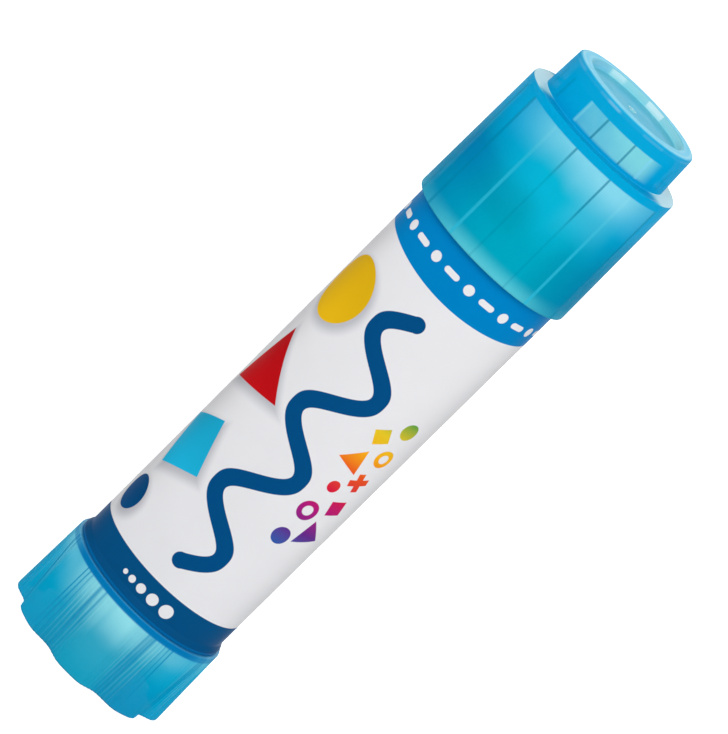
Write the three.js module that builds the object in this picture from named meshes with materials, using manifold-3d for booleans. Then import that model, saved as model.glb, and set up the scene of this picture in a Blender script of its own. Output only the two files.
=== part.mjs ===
// A twist-up glue stick: a capped plastic tube whose foot knob turns a lead screw that lifts the glue.
// Millimetres, +Z up. The origin is the centre of the circle that the stick stands on.
// Angles round the axis are in degrees, measured from the front (-Y) towards the right (+X).

import * as THREE from 'three';
import { mergeVertices } from 'three/addons/utils/BufferGeometryUtils.js';
import Module from 'manifold-3d';

const wasm = await Module();
wasm.setup();

// Foot knob
const knobHeight = 11.8;
const knobTopRadius = 12.1;
const knobFootRadius = 12.4;
const knobWall = 1.0;
const knobPlate = 1.0;
const lobeCount = 8;
const fluteDepth = 1.2;
const fluteHalfAngle = 17;
const gripRibHeight = 0.18;
const gripRibPitch = 3;
const gripHalfAngle = 13;
const gripRun = 1.5;
const hubWall = 1.7;
const hubLength = 6.6;
const hubSink = 0.2;
const knobFootBevel = 0.3;

// Barrel
const barrelRadius = 11.15;
const barrelWall = 1.15;
const bodyLength = 61.8;
const footFlare = 0.4;
const footLand = 0.3;
const footSlope = 0.7;
const floorThickness = 1.2;
const neckLength = 17.1;
const neckStep = 0.5;
const mouthBevel = 0.25;
const beadHeight = 0.12;
const beadWidth = 1.2;
const beadDrop = 11.5;
const guideCount = 4;
const guideHeight = 0.4;
const guideWidth = 1.0;
const guideSetback = 1.5;

// Printed sleeve round the barrel
const sleeveFilm = 0.12;
const sleeveGap = 0.03;
const sleeveTopMargin = 0.3;
const sleeveFootMargin = 0.05;

// Cap
const capWall = 1.15;
const capDraft = 0.25;
const shoulderThickness = 1.15;
const shoulderWidth = 2.1;
const shoulderBevel = 0.2;
const buttonHeight = 5.85;
const buttonWall = 1.15;
const buttonDraft = 0.25;
const buttonEdge = 0.4;
const buttonEdgeMiddle = 0.12;
const crownRim = 1.7;
const recessDepth = 1.05;
const recessDraft = 0.15;
const crownPlate = 1.05;
const gateRadius = 0.7;
const gateHeight = 0.2;
const headroom = 2.0;
const leadIn = 0.8;
const leadInStep = 0.25;
const capRibPairs = 8;
const capRibHalfSpacing = 13.5;
const capRibWidth = 0.5;
const capRibHeight = 0.2;
const capRibStart = 1.6;
const capTurn = 6;
const sealWall = 0.65;
const sealDepth = 0.6;

// Lead screw
const rootRadius = 2.7;
const threadHeight = 0.9;
const threadRootWidth = 2.2;
const threadCrestWidth = 1.2;
const lead = 6.0;
const turns = 11;
const engagement = 3.4;
const flangeRadius = 5.0;
const flangeThickness = 1.2;
const journalRadius = 2.9;
const driveSide = 4.0;
const tipBevel = 0.6;

// Glue carrier
const carrierBase = 1.2;
const cupHeight = 7.9;
const cupWall = 0.8;
const nutHeight = 9.0;
const coreWall = 0.8;
const coreRoof = 1.0;

// Glue
const glueSink = 1.2;
const glueBevel = 0.5;

// Clearances
const turnGap = 0.3;
const capSeatGap = 0.25;
const capSlip = 0.2;
const sealSlip = 0.2;
const journalGap = 0.2;
const driveGap = 0.05;
const threadGap = 0.25;
const coreGap = 0.4;
const carrierGap = 0.3;
const guideGap = 0.2;
const glueGap = 0.1;

// How finely round shapes are cut
const roundSteps = 72;
const knobSteps = Math.round(720 / gripRibPitch);
const hubSteps = 36;
const threadSteps = 18;
const overlap = 0.4;

// Heights up the axis
const footZ = knobHeight + turnGap;
const floorTop = footZ + floorThickness;
const ledgeZ = footZ + bodyLength;
const mouthZ = ledgeZ + neckLength;
const capRimZ = ledgeZ + capSeatGap;
const ceilingZ = mouthZ + headroom;
const shoulderZ = ceilingZ + shoulderThickness;
const crownZ = shoulderZ + buttonHeight;
const recessZ = crownZ - recessDepth;
const crownUnderZ = recessZ - crownPlate;
const flangeZ = floorTop + turnGap;
const flangeTop = flangeZ + flangeThickness;
const carrierZ = flangeTop + turnGap;
const cupFloorZ = carrierZ + carrierBase;
const cupTop = carrierZ + cupHeight;
const nutTop = carrierZ + nutHeight;
const travel = lead * turns;
const screwTop = carrierZ + travel + engagement;
const coreTop = screwTop + coreGap + coreRoof;
const glueTop = mouthZ - glueSink;
const gripTop = knobHeight - knobPlate;
const hubTop = knobHeight - hubSink;
const hubZ = hubTop - hubLength;
const journalZ = hubTop + turnGap / 2;

// Radii
const boreRadius = barrelRadius - barrelWall;
const neckRadius = barrelRadius - neckStep;
const footRadius = barrelRadius + footFlare;
const guideRadius = boreRadius - guideHeight;
const capRibRadius = neckRadius + capSlip;
const capBoreRadius = capRibRadius + capRibHeight;
const capRadius = capBoreRadius + capWall;
const capTopRadius = capRadius - capDraft;
const buttonRadius = capTopRadius - shoulderWidth;
const buttonTopRadius = buttonRadius - buttonDraft;
const buttonBoreRadius = buttonTopRadius - buttonWall;
const recessRadius = buttonTopRadius - buttonEdge / 2 - crownRim;
const sealRadius = boreRadius - sealSlip;
const crestRadius = rootRadius + threadHeight;
const nutRadius = rootRadius + threadGap;
const coreBoreRadius = crestRadius + coreGap;
const coreRadius = coreBoreRadius + coreWall;
const carrierRadius = boreRadius - carrierGap;
const cupBoreRadius = carrierRadius - cupWall;
const glueRadius = guideRadius - guideGap;
const glueBoreRadius = coreRadius + glueGap;
const holeRadius = journalRadius + journalGap;
const socketSide = driveSide + 2 * driveGap;
const hubRadius = socketSide / Math.SQRT2 + hubWall;

// One closed geometry made into a solid, with its seam joined and its empty triangles left out
function solid(geometry) {
  geometry.deleteAttribute('normal');
  geometry.deleteAttribute('uv');
  const merged = mergeVertices(geometry, 1e-4);
  const index = merged.index.array;
  const triangles = [];
  for (let i = 0; i < index.length; i += 3) {
    const [a, b, c] = index.subarray(i, i + 3);
    if (a !== b && b !== c && c !== a) {
      triangles.push(a, b, c);
    }
  }
  const vertProperties = new Float32Array(merged.attributes.position.array);
  const triVerts = new Uint32Array(triangles);
  return new wasm.Manifold(new wasm.Mesh({ numProp: 3, vertProperties, triVerts }));
}

function join(first, others) {
  return others.reduce((sum, other) => sum.add(other), first);
}

function cut(first, others) {
  return others.reduce((rest, other) => rest.subtract(other), first);
}

// A profile of [radius, height] pairs turned round the axis, listed up the outside and down the inside
function turned(profile, steps) {
  const points = profile.map(([radius, height]) => new THREE.Vector2(radius, height));
  const geometry = new THREE.LatheGeometry(points, steps);
  geometry.rotateX(Math.PI / 2);
  return solid(geometry);
}

function ringProfile(profile) {
  return [...profile, profile[0]];
}

// A point at an angle from the front
function around(angle, radius, height) {
  const a = THREE.MathUtils.degToRad(angle);
  return [radius * Math.sin(a), -radius * Math.cos(a), height];
}

// An upright bar between two radii and two heights, its middle at an angle from the front
function bar(angle, innerRadius, outerRadius, width, low, high) {
  const geometry = new THREE.BoxGeometry(width, outerRadius - innerRadius, high - low);
  geometry.translate(0, -(innerRadius + outerRadius) / 2, (low + high) / 2);
  geometry.rotateZ(THREE.MathUtils.degToRad(angle));
  return solid(geometry);
}

// Rings of points joined into a closed tube, the last ring to the first; each ring is a function of the angle
function ringLoop(rings, steps) {
  const positions = [];
  const index = [];
  for (const ring of rings) {
    for (let i = 0; i < steps; i += 1) {
      positions.push(...ring((360 * i) / steps));
    }
  }
  for (let r = 0; r < rings.length; r += 1) {
    const next = (r + 1) % rings.length;
    for (let i = 0; i < steps; i += 1) {
      const j = (i + 1) % steps;
      const [a, b] = [r * steps + i, r * steps + j];
      const [c, d] = [next * steps + i, next * steps + j];
      index.push(a, b, d, a, d, c);
    }
  }
  const geometry = new THREE.BufferGeometry();
  geometry.setAttribute('position', new THREE.Float32BufferAttribute(positions, 3));
  geometry.setIndex(index);
  return solid(geometry);
}

// A ridge of trapezoid section swept up a right-hand helix, square at both ends
function helixRidge(innerRadius, outerRadius, rootWidth, crestWidth, low, high) {
  const count = Math.ceil(((high - low) / lead) * threadSteps);
  const positions = [];
  const index = [];
  for (let i = 0; i <= count; i += 1) {
    const angle = (360 * i) / threadSteps;
    const middle = low + (lead * i) / threadSteps;
    positions.push(...around(angle, innerRadius, middle - rootWidth / 2));
    positions.push(...around(angle, outerRadius, middle - crestWidth / 2));
    positions.push(...around(angle, outerRadius, middle + crestWidth / 2));
    positions.push(...around(angle, innerRadius, middle + rootWidth / 2));
  }
  for (let i = 0; i < count; i += 1) {
    for (let k = 0; k < 4; k += 1) {
      const [a, b] = [4 * i + k, 4 * i + ((k + 1) % 4)];
      index.push(a, a + 4, b + 4, a, b + 4, b);
    }
  }
  const end = 4 * count;
  index.push(0, 1, 2, 0, 2, 3, end, end + 2, end + 1, end, end + 3, end + 2);
  const geometry = new THREE.BufferGeometry();
  geometry.setAttribute('position', new THREE.Float32BufferAttribute(positions, 3));
  geometry.setIndex(index);
  return solid(geometry);
}

// The knob's outside: round at the top, growing into lobes and ribbed flutes towards the foot
function knobRadius(angle, height, ribbed) {
  const spacing = 360 / lobeCount;
  const fromFlute = (angle % spacing) - spacing / 2;
  const taper = (knobFootRadius - knobTopRadius) * (1 - height / knobHeight);
  const below = Math.max(0, gripTop - height);
  const inFlute = Math.abs(fromFlute) < fluteHalfAngle;
  const dip = inFlute ? 0.5 + 0.5 * Math.cos((Math.PI * fromFlute) / fluteHalfAngle) : 0;
  const halfPitches = Math.round((2 * fromFlute) / gripRibPitch);
  const onRib = Math.abs(fromFlute) <= gripHalfAngle && halfPitches % 2 === 0;
  const rib = ribbed && onRib ? gripRibHeight * Math.min(1, below / gripRun) : 0;
  return knobTopRadius + taper - (fluteDepth + gripRibHeight) * (below / gripTop) * dip + rib;
}

function knob() {
  const outside = (height, inset) => (angle) =>
    around(angle, knobRadius(angle, height, true) - inset, height);
  const inside = (height) => (angle) =>
    around(angle, knobRadius(angle, height, false) - knobWall, height);
  const circle = (radius, height) => (angle) => around(angle, radius, height);
  const hole = hubRadius - overlap;
  const shell = ringLoop([
    outside(0, knobFootBevel),
    outside(knobFootBevel, 0),
    outside(gripTop - gripRun, 0),
    outside(gripTop, 0),
    outside(knobHeight, 0),
    circle(hole, knobHeight),
    circle(hole, gripTop),
    inside(gripTop),
    inside(0),
  ], knobSteps);
  const hub = turned([[0, hubZ], [hubRadius, hubZ], [hubRadius, hubTop], [0, hubTop]], hubSteps);
  const socket = new THREE.BoxGeometry(socketSide, socketSide, knobHeight * 2);
  return cut(join(shell, [hub]), [solid(socket)]);
}

function barrel() {
  const beadZ = mouthZ - beadDrop;
  const tube = turned(ringProfile([
    [holeRadius, footZ],
    [footRadius, footZ],
    [footRadius, footZ + footLand],
    [barrelRadius, footZ + footLand + footSlope],
    [barrelRadius, ledgeZ],
    [neckRadius, ledgeZ],
    [neckRadius, beadZ - beadWidth / 2],
    [neckRadius + beadHeight, beadZ],
    [neckRadius, beadZ + beadWidth / 2],
    [neckRadius, mouthZ - mouthBevel],
    [neckRadius - mouthBevel, mouthZ],
    [boreRadius, mouthZ],
    [boreRadius, floorTop],
    [holeRadius, floorTop],
  ]), roundSteps);
  const low = floorTop - floorThickness / 2;
  const high = mouthZ - guideSetback;
  const guides = [];
  for (let i = 0; i < guideCount; i += 1) {
    const angle = (360 * (i + 0.5)) / guideCount;
    guides.push(bar(angle, guideRadius, boreRadius + overlap, guideWidth, low, high));
  }
  return join(tube, guides);
}

function sleeve() {
  const inner = sleeveGap;
  const outer = sleeveGap + sleeveFilm;
  const foot = footZ + sleeveFootMargin;
  const land = footZ + footLand;
  const slope = land + footSlope;
  const top = ledgeZ - sleeveTopMargin;
  return turned(ringProfile([
    [footRadius + inner, foot],
    [footRadius + outer, foot],
    [footRadius + outer, land],
    [barrelRadius + outer, slope],
    [barrelRadius + outer, top],
    [barrelRadius + inner, top],
    [barrelRadius + inner, slope],
    [footRadius + inner, land],
  ]), roundSteps);
}

function cap() {
  const shell = turned([
    [0, crownUnderZ],
    [buttonBoreRadius, crownUnderZ],
    [buttonBoreRadius, ceilingZ],
    [sealRadius - sealWall, ceilingZ],
    [sealRadius - sealWall, mouthZ - sealDepth],
    [sealRadius, mouthZ - sealDepth],
    [sealRadius, ceilingZ],
    [capBoreRadius, ceilingZ],
    [capBoreRadius, capRimZ + leadIn],
    [capBoreRadius + leadInStep, capRimZ],
    [capRadius, capRimZ],
    [capTopRadius, shoulderZ - shoulderBevel],
    [capTopRadius - shoulderBevel, shoulderZ],
    [buttonRadius, shoulderZ],
    [buttonTopRadius, crownZ - buttonEdge],
    [buttonTopRadius - buttonEdgeMiddle, crownZ - buttonEdgeMiddle],
    [buttonTopRadius - buttonEdge, crownZ],
    [recessRadius, crownZ],
    [recessRadius - recessDraft, recessZ],
    [gateRadius, recessZ],
    [gateRadius, recessZ + gateHeight],
    [0, recessZ + gateHeight],
  ], roundSteps);
  const ribs = [];
  for (let i = 0; i < capRibPairs; i += 1) {
    for (const side of [-1, 1]) {
      const angle = capTurn + (360 * i) / capRibPairs + side * capRibHalfSpacing;
      const skirtLow = capRimZ + capRibStart;
      const skirtHigh = ceilingZ + overlap;
      ribs.push(bar(angle, capRibRadius, capBoreRadius + overlap, capRibWidth, skirtLow, skirtHigh));
      const buttonRib = buttonBoreRadius - capRibHeight;
      const buttonHigh = crownUnderZ + overlap;
      ribs.push(bar(angle, buttonRib, buttonBoreRadius + overlap, capRibWidth, ceilingZ, buttonHigh));
    }
  }
  return join(shell, ribs);
}

function spindle() {
  const core = turned([
    [0, journalZ],
    [journalRadius, journalZ],
    [journalRadius, flangeZ],
    [flangeRadius, flangeZ],
    [flangeRadius, flangeTop],
    [rootRadius, flangeTop],
    [rootRadius, screwTop - tipBevel],
    [rootRadius - tipBevel, screwTop],
    [0, screwTop],
  ], threadSteps);
  const driveTop = journalZ + overlap;
  const drive = new THREE.BoxGeometry(driveSide, driveSide, driveTop - hubZ);
  drive.translate(0, 0, (driveTop + hubZ) / 2);
  const half = threadRootWidth / 2;
  const inner = rootRadius - overlap;
  const ridgeLow = flangeTop + turnGap + half;
  const ridgeHigh = screwTop - tipBevel - half;
  const ridge = helixRidge(inner, crestRadius, threadRootWidth, threadCrestWidth, ridgeLow, ridgeHigh);
  return join(core, [solid(drive), ridge]);
}

function carrier() {
  const body = turned([
    [0, screwTop + coreGap],
    [coreBoreRadius, screwTop + coreGap],
    [coreBoreRadius, nutTop],
    [nutRadius, nutTop],
    [nutRadius, carrierZ],
    [carrierRadius, carrierZ],
    [carrierRadius, cupTop],
    [cupBoreRadius, cupTop],
    [cupBoreRadius, cupFloorZ],
    [coreRadius, cupFloorZ],
    [coreRadius, coreTop],
    [0, coreTop],
  ], roundSteps);
  const grown = 2 * threadGap;
  const start = flangeTop + turnGap + threadRootWidth / 2 - lead;
  const groove = helixRidge(
    nutRadius - overlap,
    crestRadius + threadGap,
    threadRootWidth + grown,
    threadCrestWidth + grown,
    start,
    nutTop + lead,
  );
  const notches = [];
  for (let i = 0; i < guideCount; i += 1) {
    const angle = (360 * (i + 0.5)) / guideCount;
    const width = guideWidth + 2 * guideGap;
    const depth = guideRadius - guideGap;
    notches.push(bar(angle, depth, boreRadius, width, carrierZ - overlap, cupTop + overlap));
  }
  return cut(body, [groove, ...notches]);
}

function glue() {
  const wide = cupTop + glueGap;
  return turned([
    [0, coreTop + glueGap],
    [glueBoreRadius, coreTop + glueGap],
    [glueBoreRadius, cupFloorZ + glueGap],
    [cupBoreRadius - glueGap, cupFloorZ + glueGap],
    [cupBoreRadius - glueGap, wide],
    [glueRadius, wide],
    [glueRadius, glueTop - glueBevel],
    [glueRadius - glueBevel, glueTop],
    [0, glueTop],
  ], roundSteps);
}

function piece(name, shape, color, roughness) {
  const made = shape.getMesh();
  const geometry = new THREE.BufferGeometry();
  geometry.setAttribute('position', new THREE.BufferAttribute(made.vertProperties, 3));
  geometry.setIndex(new THREE.BufferAttribute(made.triVerts, 1));
  geometry.computeVertexNormals();
  const material = new THREE.MeshStandardMaterial({ color, roughness, metalness: 0 });
  const mesh = new THREE.Mesh(geometry, material);
  mesh.name = name;
  return mesh;
}

const clearBlue = 0x0a9cc4;
const white = 0xededec;

const glueStick = new THREE.Group();
glueStick.add(
  piece('knob', knob(), clearBlue, 0.35),
  piece('spindle', spindle(), white, 0.5),
  piece('barrel', barrel(), white, 0.45),
  piece('label_sleeve', sleeve(), 0xe8e8ea, 0.4),
  piece('carrier', carrier(), white, 0.5),
  piece('glue', glue(), 0xf1eee2, 0.7),
  piece('cap', cap(), clearBlue, 0.35),
);

export default glueStick;
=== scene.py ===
"""Looks of a twist-up glue stick: see-through blue cap and knob, white tube, printed sleeve and glue.

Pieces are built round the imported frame, in metres, with +Z up the stick and the front at -Y.
Sections and places on a surface are in millimetres, and angles in degrees from the front towards +X.
In the paint of the blue plastic, the two numbers of a rise are where it starts and ends, in millimetres
up the stick or out from its axis, or in degrees from the front. The factor behind it is its strength.
"""

import math

import bpy
from bpy.props import FloatProperty, FloatVectorProperty, IntProperty, PointerProperty
from bpy.types import Operator, Panel, PropertyGroup
from mathutils import Matrix, Vector


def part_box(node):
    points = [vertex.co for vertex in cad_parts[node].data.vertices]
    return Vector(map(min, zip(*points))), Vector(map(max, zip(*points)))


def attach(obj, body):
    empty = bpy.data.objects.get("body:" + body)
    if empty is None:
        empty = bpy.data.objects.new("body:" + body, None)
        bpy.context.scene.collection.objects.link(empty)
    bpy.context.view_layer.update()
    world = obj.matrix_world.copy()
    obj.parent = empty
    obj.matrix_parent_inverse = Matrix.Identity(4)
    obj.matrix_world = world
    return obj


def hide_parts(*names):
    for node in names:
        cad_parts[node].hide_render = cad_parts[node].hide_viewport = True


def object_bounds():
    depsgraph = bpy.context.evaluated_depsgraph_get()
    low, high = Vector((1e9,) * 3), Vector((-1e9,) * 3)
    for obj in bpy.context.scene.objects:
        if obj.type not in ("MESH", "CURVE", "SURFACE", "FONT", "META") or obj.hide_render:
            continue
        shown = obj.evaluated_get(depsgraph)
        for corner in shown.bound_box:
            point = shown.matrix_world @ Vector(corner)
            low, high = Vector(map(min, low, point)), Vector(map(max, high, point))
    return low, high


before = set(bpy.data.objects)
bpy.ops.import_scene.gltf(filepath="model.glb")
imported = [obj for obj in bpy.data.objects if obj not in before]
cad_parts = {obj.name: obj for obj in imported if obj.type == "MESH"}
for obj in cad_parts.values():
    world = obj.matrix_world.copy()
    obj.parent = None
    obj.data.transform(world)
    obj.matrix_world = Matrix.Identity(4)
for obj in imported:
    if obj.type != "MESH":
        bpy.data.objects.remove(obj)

bl_info = {
    "name": "Glue stick",
    "version": (1, 0, 0),
    "blender": (4, 5, 0),
    "location": "View3D > Sidebar > Glue stick",
    "description": "Builds the looks of a twist-up glue stick round its packed frame",
    "category": "Object",
}

MM = 0.001
CAD_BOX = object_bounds()
CAP_LOW, CAP_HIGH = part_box("cap")
_, KNOB_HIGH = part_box("knob")
BARREL_LOW, BARREL_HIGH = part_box("barrel")
_, SLEEVE_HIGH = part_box("label_sleeve")
GLUE_LOW, GLUE_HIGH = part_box("glue")

CAP_STEPS = 480
KNOB_STEPS = 720
TUBE_STEPS = 360
ARC_STEPS = 4
SUPPORT = 0.06
INK_EDGE = 0.05
FLOOR_SIDE = 12.0
FLOOR_DROP = 0.05
LIGHT_SIDE = 0.5

# In degrees: how far the patterns are turned from the front, and how they repeat.
QUARTER_TURN = 90.0
CAP_TURN = 6.0
PAIR_SPACING = 45.0
RIB_FROM_PAIR = 13.5
KNOB_TURN = 0.95
FLUTE_SPACING = 45.0
DARK_PITCH = 3.05
PALE_PITCH = 2.6

BLACK = (0.0, 0.0, 0.0)
WHITE = (1.0, 1.0, 1.0)
LEFT_SHADE = (0.0, 0.0, 0.43)


def colour(red, green, blue):
    """A screen colour from 0 to 255, in the linear values that a shader takes."""
    return tuple(
        v / 12.92 if v <= 0.04045 else ((v + 0.055) / 1.055) ** 2.4
        for v in (red / 255, green / 255, blue / 255)
    )


def length_setting(name, description, metres):
    """A length that a user may change."""
    return FloatProperty(
        name=name,
        description=description,
        default=metres,
        min=0.0,
        precision=5,
        unit="LENGTH",
        subtype="DISTANCE",
    )


def colour_setting(name, description, red, green, blue):
    """A colour that a user may change, given as on screen."""
    return FloatVectorProperty(
        name=name,
        description=description,
        default=colour(red, green, blue),
        min=0.0,
        max=1.0,
        size=3,
        subtype="COLOR",
    )


def share_setting(name, description, share):
    """A share between 0 and 1 that a user may change."""
    return FloatProperty(
        name=name, description=description, default=share, min=0.0, max=1.0, subtype="FACTOR"
    )


def power_setting(name, description, watts):
    """The power of a light that a user may change."""
    return FloatProperty(name=name, description=description, default=watts, min=0.0, unit="POWER")


def angle_setting(name, description, degrees):
    """An angle that a user may change."""
    return FloatProperty(
        name=name,
        description=description,
        default=math.radians(degrees),
        unit="ROTATION",
        subtype="ANGLE",
    )


class CapSettings(PropertyGroup):
    rim_radius: length_setting("Rim radius", "Outside of the skirt at its rim", CAP_HIGH.x)
    rim_height: length_setting("Rim height", "Height of the rim above the ground", CAP_LOW.z)
    crown_height: length_setting("Crown height", "Height of the button's top", CAP_HIGH.z)
    skirt_height: length_setting("Skirt height", "From the rim to the shoulder", 20.0 * MM)
    draft: length_setting("Draft", "How much the skirt and the button narrow upwards", 0.25 * MM)
    shoulder: length_setting("Shoulder width", "Width of the step round the button", 2.1 * MM)
    recess_radius: length_setting("Recess radius", "Radius of the dish in the crown", 7.7 * MM)
    recess_depth: length_setting("Recess depth", "Depth of the dish in the crown", 1.05 * MM)
    rib_height: length_setting("Rib height", "Height of the upright ribs inside", 0.2 * MM)
    deep: colour_setting("Deep blue", "Plastic low on the skirt", 0, 170, 197)
    middle: colour_setting("Middle blue", "Plastic half way up the skirt", 8, 186, 219)
    # Painted light: this pale blue stands in for light that gathers in the plastic under the shoulder.
    pale: colour_setting("Pale blue", "Plastic under the shoulder", 138, 222, 243)
    # Painted shade: the side blues darken the plastic towards its two sides.
    side: colour_setting("Side blue", "Plastic low at the sides", 0, 143, 190)
    high_side: colour_setting("High side blue", "Plastic high at the sides", 0, 170, 226)
    # Painted light: the rim's paler blue stands in for light that glows through the skirt's rim.
    rim: colour_setting("Rim", "Plastic at the skirt's rim", 88, 203, 220)
    solid: colour_setting("Thick plastic", "Plastic at the shoulder and the crown", 2, 170, 222)
    # Painted light: this pale blue stands in for light shining through the button's side; it is also painted
    # on the shoulder's step and in the dish.
    window: colour_setting("Thin plastic", "Plastic in the button's side", 138, 224, 232)
    # Painted shade: the ribs inside are real, and the dark lines where they show through are painted.
    line: colour_setting("Rib lines", "Ribs inside that show as dark lines", 0, 126, 160)
    # Painted light: the crown face and the glow are paler tones painted where light falls on faces that look
    # up, on edges and on the dish's wall.
    face: colour_setting("Crown face", "Top face of the crown", 104, 219, 254)
    glow: colour_setting("Glow", "Top face of the shoulder and wall of the dish", 222, 252, 255)
    dish: colour_setting("Dish", "Floor of the dish in the crown", 60, 194, 230)
    opacity: share_setting("Opacity", "How little shows through one face of the plastic", 0.9)


class KnobSettings(PropertyGroup):
    foot_radius: length_setting("Foot radius", "Radius over the lobes at the ground", 12.4 * MM)
    top_radius: length_setting("Top radius", "Radius of the round top edge", 12.1 * MM)
    height: length_setting("Height", "Height of the knob", KNOB_HIGH.z)
    flute_depth: length_setting("Flute depth", "Depth of the flutes at the ground", 1.2 * MM)
    rib_height: length_setting("Rib height", "Height of the grip ribs in the flutes", 0.08 * MM)
    lobes: IntProperty(name="Lobes", description="Number of lobes", default=8, min=3, max=24)
    deep: colour_setting("Deep blue", "Plastic near the ground", 8, 166, 200)
    # Painted light: this pale blue stands in for light that shines down through the top plate.
    pale: colour_setting("Pale blue", "Plastic under the top plate", 158, 238, 248)
    side: colour_setting("Side blue", "Plastic at the sides", 0, 178, 221)
    # Painted shade: the stripes are dark lines painted over the grip ribs, and the same colour is painted as
    # shade low down on the knob.
    stripe: colour_setting("Stripes", "Grip ribs that show as dark lines", 0, 144, 194)
    plate: colour_setting("Top plate", "Thick plastic of the top plate", 2, 126, 190)
    opacity: share_setting("Opacity", "How little shows through one face of the plastic", 0.9)


class TubeSettings(PropertyGroup):
    body_radius: length_setting("Body radius", "Outside of the tube under the sleeve", 11.15 * MM)
    foot_radius: length_setting("Foot radius", "Outside of the flared foot", BARREL_HIGH.x)
    neck_radius: length_setting("Neck radius", "Outside of the neck", 10.65 * MM)
    bore_radius: length_setting("Bore radius", "Inside of the tube", 10.0 * MM)
    white: colour_setting("White", "White plastic of the tube and the screw", 232, 232, 230)


class SleeveSettings(PropertyGroup):
    radius: length_setting("Radius", "Outside of the sleeve on the tube", 11.3 * MM)
    film: length_setting("Film", "Thickness of the printed film", 0.12 * MM)
    paper: colour_setting("Ground", "Ground of the print", 231, 231, 234)
    top_band: colour_setting("Top band", "Band under the cap", 0, 128, 194)
    foot_band: colour_setting("Foot band", "Band above the knob", 6, 78, 128)
    foot_edge: colour_setting("Foot edge", "Thin edge under the foot band", 2, 100, 160)
    ribbon: colour_setting("Ribbon", "Wavy ribbon up the front and the back", 4, 76, 130)
    yellow: colour_setting("Yellow paper", "Yellow paper shape", 240, 190, 24)
    red: colour_setting("Red paper", "Red paper shape", 200, 18, 26)
    cyan: colour_setting("Blue paper", "Light blue paper shape", 30, 182, 224)


class GlueSettings(PropertyGroup):
    radius: length_setting("Radius", "Outside of the glue", GLUE_HIGH.x)
    top: length_setting("Top", "Height of the glue's top", GLUE_HIGH.z)
    tint: colour_setting("Colour", "Colour of the glue", 234, 231, 218)


class StageSettings(PropertyGroup):
    distance: length_setting("Distance", "From the camera to the stick", 0.7)
    aim_height: length_setting("Aim height", "Height that the camera looks at", 51.9 * MM)
    aim_left: length_setting("Aim left", "How far left of the axis the camera looks", 0.81 * MM)
    azimuth: angle_setting("Azimuth", "Camera's turn round the stick, to the left", 0.7)
    elevation: angle_setting("Elevation", "Camera's angle above the ground", 14.2)
    roll: angle_setting("Roll", "How far the camera leans to its left", 45.2)
    lens: FloatProperty(
        name="Lens",
        description="Focal length for a picture 36 mm high",
        default=274.85,
        min=1.0,
        unit="CAMERA",
    )
    key_power: power_setting("Key light", "Power of the large soft light at the front", 3.2)
    left_power: power_setting("Left light", "Power of the soft light at the left", 1.8)
    right_power: power_setting("Right light", "Power of the soft light at the right", 2.35)
    back_power: power_setting("Back light", "Power of the soft light behind the stick", 1.5)
    ambient: share_setting("Ambient", "Even light from all round", 0.16)


class Number:
    """A number that varies over a surface: the output of a node, with arithmetic."""

    def __init__(self, graph, socket):
        self.graph = graph
        self.socket = socket

    def __add__(self, other):
        return self.graph.math("ADD", self, other)

    def __sub__(self, other):
        return self.graph.math("SUBTRACT", self, other)

    def __rsub__(self, other):
        return self.graph.math("SUBTRACT", other, self)

    def __mul__(self, other):
        return self.graph.math("MULTIPLY", self, other)

    def __truediv__(self, other):
        return self.graph.math("DIVIDE", self, other)

    def __abs__(self):
        return self.graph.math("ABSOLUTE", self)

    __radd__ = __add__
    __rmul__ = __mul__


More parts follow.
